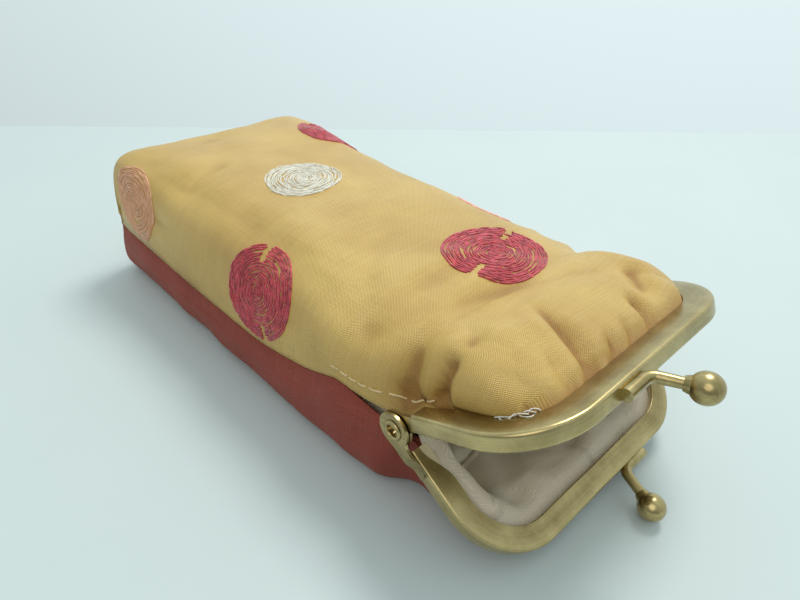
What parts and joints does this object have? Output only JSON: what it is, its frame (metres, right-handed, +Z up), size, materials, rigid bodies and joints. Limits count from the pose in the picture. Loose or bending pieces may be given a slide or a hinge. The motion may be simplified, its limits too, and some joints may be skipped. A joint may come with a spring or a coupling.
{
  "type": "soft glasses case",
  "caption": "Soft quilted glasses case with a kiss-lock metal frame, lined inside and embroidered with round spots, standing open on a table.",
  "frame": {"origin": "centre of the overall bounding box, on the table under the case", "axes": "+Y from the open mouth to the closed end, +Z up from the table, +X across the case"},
  "size_m": [0.0882, 0.2028, 0.0521],
  "materials": {
    "gold_silk": "plain-woven silk sateen with a soft sheen",
    "coral_silk": "slubby woven silk, nearly matt",
    "cream_satin": "fine satin lining",
    "wadding": "soft matt padding",
    "paper": "matt twisted paper",
    "antique_brass": "brushed antique brass",
    "crimson_thread": "satin embroidery thread",
    "silver_thread": "satin embroidery thread",
    "peach_thread": "satin embroidery thread",
    "pink_thread": "satin embroidery thread",
    "gold_thread": "sewing thread"
  },
  "bodies": {
    "pouch": {"front_panel": "gold_silk", "front_panel_fold": "gold_silk", "front_lining": "cream_satin", "front_lining_fold": "cream_satin", "front_wadding": "wadding", "back_panel": "coral_silk", "back_lining": "cream_satin", "back_wadding": "wadding", "rivet_left": "antique_brass", "rivet_right": "antique_brass", "spot_crimson_side": "crimson_thread", "spot_crimson_mouth": "crimson_thread", "spot_crimson_corner": "crimson_thread", "spot_silver": "silver_thread", "spot_peach": "peach_thread", "spot_pink": "pink_thread", "topstitch_left": "gold_thread", "topstitch_right": "gold_thread"},
    "upper_half": {"upper_frame": "antique_brass", "upper_packing_cord": "paper", "upper_clasp_stem": "antique_brass", "upper_clasp_ball": "antique_brass", "front_panel_mouth": "gold_silk", "front_lining_mouth": "cream_satin"},
    "lower_half": {"lower_frame": "antique_brass", "lower_packing_cord": "paper", "lower_clasp_stem": "antique_brass", "lower_clasp_ball": "antique_brass", "back_panel_mouth": "coral_silk", "back_lining_mouth": "cream_satin"}
  },
  "joints": [
    {"name": "upper_hinge", "type": "hinge", "parent": "pouch", "child": "upper_half", "pos_m": [0, -0.05158, 0.0282], "axis": [-1, 0, 0], "range_deg": [-25.1, 20], "deforming": ["front_panel_fold", "front_lining_fold"]},
    {"name": "lower_hinge", "type": "hinge", "parent": "pouch", "child": "lower_half", "pos_m": [0, -0.05158, 0.0282], "axis": [-1, 0, 0], "range_deg": [0, 30.57]}
  ]
}
